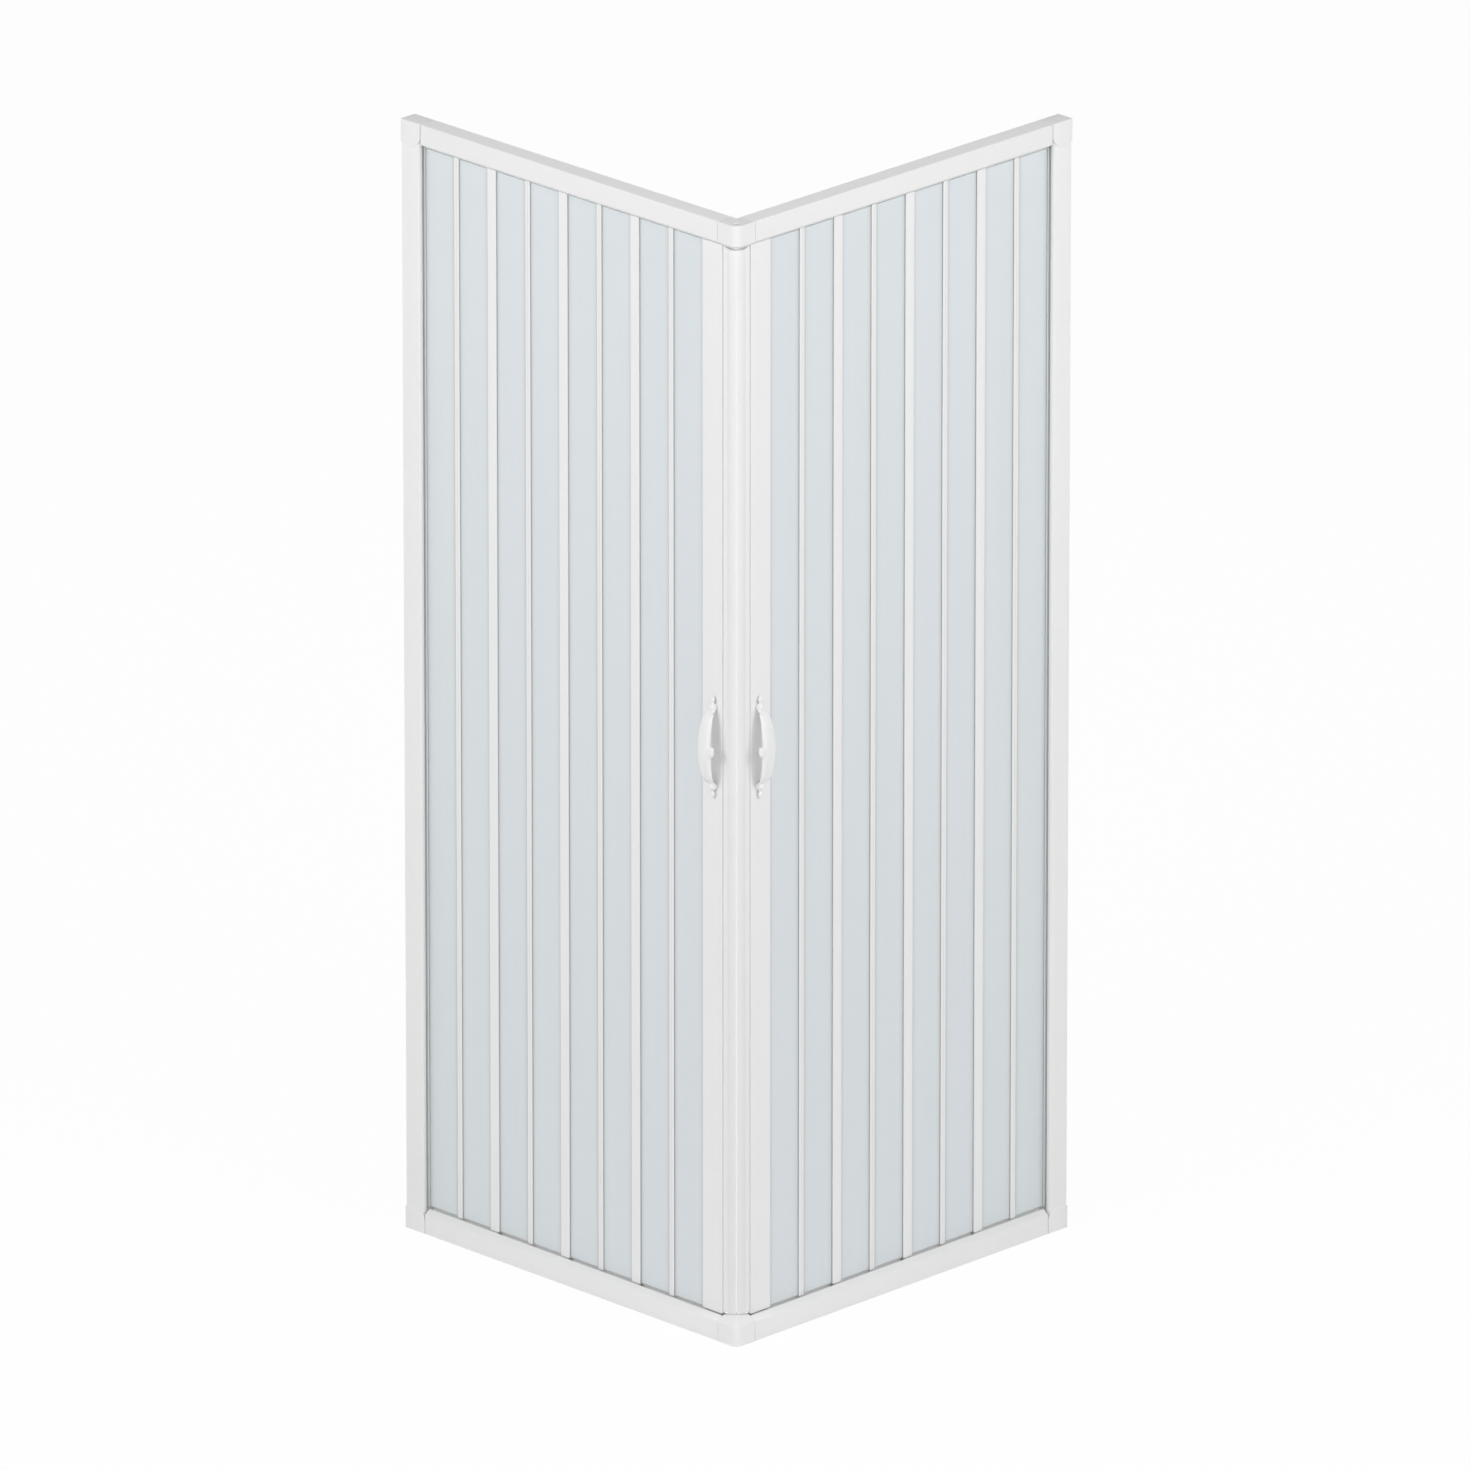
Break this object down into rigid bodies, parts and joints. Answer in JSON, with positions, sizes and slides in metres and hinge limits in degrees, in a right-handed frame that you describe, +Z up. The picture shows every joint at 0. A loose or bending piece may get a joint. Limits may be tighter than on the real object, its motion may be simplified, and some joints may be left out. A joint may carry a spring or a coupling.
{
  "type": "corner shower enclosure with folding doors",
  "caption": "White plastic corner shower enclosure: two framed wings at right angles, each closed by a folding door of frosted slats with a bow handle.",
  "frame": {"origin": "middle of the enclosure's base, on the tray surface, handles included", "axes": "+Z up, +X along the right wing from the corner to the wall, +Y along the left wing"},
  "size_m": [0.7566, 0.7566, 1.85],
  "materials": {
    "white_plastic": "smooth white rigid PVC",
    "frosted_panel": "frosted translucent rigid PVC sheet",
    "guide_plastic": "grey acetal",
    "soft_seal": "soft white PVC",
    "magnet": "magnetic rubber bar"
  },
  "bodies": {
    "frame": {"bottom_corner_joint": "white_plastic", "top_corner_joint": "white_plastic", "right_bottom_rail": "white_plastic", "right_top_rail": "white_plastic", "right_wall_post": "white_plastic", "right_bottom_wall_joint": "white_plastic", "right_top_wall_joint": "white_plastic", "right_wall_hinge_strip": "white_plastic", "left_bottom_rail": "white_plastic", "left_top_rail": "white_plastic", "left_wall_post": "white_plastic", "left_bottom_wall_joint": "white_plastic", "left_top_wall_joint": "white_plastic", "left_wall_hinge_strip": "white_plastic"},
    "right_slat_1": {"right_slat_1": "frosted_panel", "right_narrow_strip_1": "white_plastic"},
    "right_slat_2": {"right_slat_2": "frosted_panel"},
    "right_wide_strip_1": {"right_wide_strip_1": "white_plastic"},
    "right_slat_3": {"right_slat_3": "frosted_panel", "right_narrow_strip_2": "white_plastic"},
    "right_slat_4": {"right_slat_4": "frosted_panel"},
    "right_wide_strip_2": {"right_wide_strip_2": "white_plastic"},
    "right_slat_5": {"right_slat_5": "frosted_panel", "right_narrow_strip_3": "white_plastic"},
    "right_slat_6": {"right_slat_6": "frosted_panel"},
    "right_wide_strip_3": {"right_wide_strip_3": "white_plastic"},
    "right_slat_7": {"right_slat_7": "frosted_panel", "right_narrow_strip_4": "white_plastic"},
    "right_slat_8": {"right_slat_8": "frosted_panel"},
    "right_leading_profile": {"right_leading_profile": "white_plastic", "right_bottom_leading_shoe": "guide_plastic", "right_top_leading_shoe": "guide_plastic", "right_closing_seal": "soft_seal", "right_closing_magnet": "magnet", "right_handle": "white_plastic"},
    "left_slat_1": {"left_slat_1": "frosted_panel", "left_narrow_strip_1": "white_plastic"},
    "left_slat_2": {"left_slat_2": "frosted_panel"},
    "left_wide_strip_1": {"left_wide_strip_1": "white_plastic"},
    "left_slat_3": {"left_slat_3": "frosted_panel", "left_narrow_strip_2": "white_plastic"},
    "left_slat_4": {"left_slat_4": "frosted_panel"},
    "left_wide_strip_2": {"left_wide_strip_2": "white_plastic"},
    "left_slat_5": {"left_slat_5": "frosted_panel", "left_narrow_strip_3": "white_plastic"},
    "left_slat_6": {"left_slat_6": "frosted_panel"},
    "left_wide_strip_3": {"left_wide_strip_3": "white_plastic"},
    "left_slat_7": {"left_slat_7": "frosted_panel", "left_narrow_strip_4": "white_plastic"},
    "left_slat_8": {"left_slat_8": "frosted_panel"},
    "left_leading_profile": {"left_leading_profile": "white_plastic", "left_bottom_leading_shoe": "guide_plastic", "left_top_leading_shoe": "guide_plastic", "left_closing_seal": "soft_seal", "left_closing_magnet": "magnet", "left_handle": "white_plastic"}
  },
  "joints": [
    {"name": "right_door_fold", "type": "hinge", "parent": "frame", "child": "right_slat_1", "pos_m": [0.33985, -0.34565, 0.925], "axis": [0, 0, -1], "range_deg": [0, 85]},
    {"name": "right_slat_2_hinge", "type": "hinge", "parent": "right_slat_1", "child": "right_slat_2", "pos_m": [0.26805, -0.34825, 0.925], "axis": [0, 0, 1], "range_deg": [0, 170]},
    {"name": "right_wide_strip_1_hinge", "type": "hinge", "parent": "right_slat_2", "child": "right_wide_strip_1", "pos_m": [0.19625, -0.34565, 0.925], "axis": [0, 0, -1], "range_deg": [0, 85]},
    {"name": "right_slat_3_hinge", "type": "hinge", "parent": "right_wide_strip_1", "child": "right_slat_3", "pos_m": [0.18225, -0.34565, 0.925], "axis": [0, 0, -1], "range_deg": [0, 85]},
    {"name": "right_slat_4_hinge", "type": "hinge", "parent": "right_slat_3", "child": "right_slat_4", "pos_m": [0.11045, -0.34825, 0.925], "axis": [0, 0, 1], "range_deg": [0, 170]},
    {"name": "right_wide_strip_2_hinge", "type": "hinge", "parent": "right_slat_4", "child": "right_wide_strip_2", "pos_m": [0.03865, -0.34565, 0.925], "axis": [0, 0, -1], "range_deg": [0, 85]},
    {"name": "right_slat_5_hinge", "type": "hinge", "parent": "right_wide_strip_2", "child": "right_slat_5", "pos_m": [0.02465, -0.34565, 0.925], "axis": [0, 0, -1], "range_deg": [0, 85]},
    {"name": "right_slat_6_hinge", "type": "hinge", "parent": "right_slat_5", "child": "right_slat_6", "pos_m": [-0.04715, -0.34825, 0.925], "axis": [0, 0, 1], "range_deg": [0, 170]},
    {"name": "right_wide_strip_3_hinge", "type": "hinge", "parent": "right_slat_6", "child": "right_wide_strip_3", "pos_m": [-0.11895, -0.34565, 0.925], "axis": [0, 0, -1], "range_deg": [0, 85]},
    {"name": "right_slat_7_hinge", "type": "hinge", "parent": "right_wide_strip_3", "child": "right_slat_7", "pos_m": [-0.13295, -0.34565, 0.925], "axis": [0, 0, -1], "range_deg": [0, 85]},
    {"name": "right_slat_8_hinge", "type": "hinge", "parent": "right_slat_7", "child": "right_slat_8", "pos_m": [-0.20475, -0.34825, 0.925], "axis": [0, 0, 1], "range_deg": [0, 170]},
    {"name": "right_leading_profile_hinge", "type": "hinge", "parent": "right_slat_8", "child": "right_leading_profile", "pos_m": [-0.27655, -0.34565, 0.925], "axis": [0, 0, -1], "range_deg": [0, 85]},
    {"name": "left_door_fold", "type": "hinge", "parent": "frame", "child": "left_slat_1", "pos_m": [-0.34565, 0.33985, 0.925], "axis": [0, 0, 1], "range_deg": [0, 85]},
    {"name": "left_slat_2_hinge", "type": "hinge", "parent": "left_slat_1", "child": "left_slat_2", "pos_m": [-0.34825, 0.26805, 0.925], "axis": [0, 0, -1], "range_deg": [0, 170]},
    {"name": "left_wide_strip_1_hinge", "type": "hinge", "parent": "left_slat_2", "child": "left_wide_strip_1", "pos_m": [-0.34565, 0.19625, 0.925], "axis": [0, 0, 1], "range_deg": [0, 85]},
    {"name": "left_slat_3_hinge", "type": "hinge", "parent": "left_wide_strip_1", "child": "left_slat_3", "pos_m": [-0.34565, 0.18225, 0.925], "axis": [0, 0, 1], "range_deg": [0, 85]},
    {"name": "left_slat_4_hinge", "type": "hinge", "parent": "left_slat_3", "child": "left_slat_4", "pos_m": [-0.34825, 0.11045, 0.925], "axis": [0, 0, -1], "range_deg": [0, 170]},
    {"name": "left_wide_strip_2_hinge", "type": "hinge", "parent": "left_slat_4", "child": "left_wide_strip_2", "pos_m": [-0.34565, 0.03865, 0.925], "axis": [0, 0, 1], "range_deg": [0, 85]},
    {"name": "left_slat_5_hinge", "type": "hinge", "parent": "left_wide_strip_2", "child": "left_slat_5", "pos_m": [-0.34565, 0.02465, 0.925], "axis": [0, 0, 1], "range_deg": [0, 85]},
    {"name": "left_slat_6_hinge", "type": "hinge", "parent": "left_slat_5", "child": "left_slat_6", "pos_m": [-0.34825, -0.04715, 0.925], "axis": [0, 0, -1], "range_deg": [0, 170]},
    {"name": "left_wide_strip_3_hinge", "type": "hinge", "parent": "left_slat_6", "child": "left_wide_strip_3", "pos_m": [-0.34565, -0.11895, 0.925], "axis": [0, 0, 1], "range_deg": [0, 85]},
    {"name": "left_slat_7_hinge", "type": "hinge", "parent": "left_wide_strip_3", "child": "left_slat_7", "pos_m": [-0.34565, -0.13295, 0.925], "axis": [0, 0, 1], "range_deg": [0, 85]},
    {"name": "left_slat_8_hinge", "type": "hinge", "parent": "left_slat_7", "child": "left_slat_8", "pos_m": [-0.34825, -0.20475, 0.925], "axis": [0, 0, -1], "range_deg": [0, 170]},
    {"name": "left_leading_profile_hinge", "type": "hinge", "parent": "left_slat_8", "child": "left_leading_profile", "pos_m": [-0.34565, -0.27655, 0.925], "axis": [0, 0, 1], "range_deg": [0, 85]}
  ],
  "couplings": [
    {"joint": "right_slat_2_hinge", "follows": "right_door_fold", "ratio": 2},
    {"joint": "right_wide_strip_1_hinge", "follows": "right_door_fold", "ratio": 1},
    {"joint": "right_slat_3_hinge", "follows": "right_door_fold", "ratio": 1},
    {"joint": "right_slat_4_hinge", "follows": "right_door_fold", "ratio": 2},
    {"joint": "right_wide_strip_2_hinge", "follows": "right_door_fold", "ratio": 1},
    {"joint": "right_slat_5_hinge", "follows": "right_door_fold", "ratio": 1},
    {"joint": "right_slat_6_hinge", "follows": "right_door_fold", "ratio": 2},
    {"joint": "right_wide_strip_3_hinge", "follows": "right_door_fold", "ratio": 1},
    {"joint": "right_slat_7_hinge", "follows": "right_door_fold", "ratio": 1},
    {"joint": "right_slat_8_hinge", "follows": "right_door_fold", "ratio": 2},
    {"joint": "right_leading_profile_hinge", "follows": "right_door_fold", "ratio": 1},
    {"joint": "left_slat_2_hinge", "follows": "left_door_fold", "ratio": 2},
    {"joint": "left_wide_strip_1_hinge", "follows": "left_door_fold", "ratio": 1},
    {"joint": "left_slat_3_hinge", "follows": "left_door_fold", "ratio": 1},
    {"joint": "left_slat_4_hinge", "follows": "left_door_fold", "ratio": 2},
    {"joint": "left_wide_strip_2_hinge", "follows": "left_door_fold", "ratio": 1},
    {"joint": "left_slat_5_hinge", "follows": "left_door_fold", "ratio": 1},
    {"joint": "left_slat_6_hinge", "follows": "left_door_fold", "ratio": 2},
    {"joint": "left_wide_strip_3_hinge", "follows": "left_door_fold", "ratio": 1},
    {"joint": "left_slat_7_hinge", "follows": "left_door_fold", "ratio": 1},
    {"joint": "left_slat_8_hinge", "follows": "left_door_fold", "ratio": 2},
    {"joint": "left_leading_profile_hinge", "follows": "left_door_fold", "ratio": 1}
  ]
}
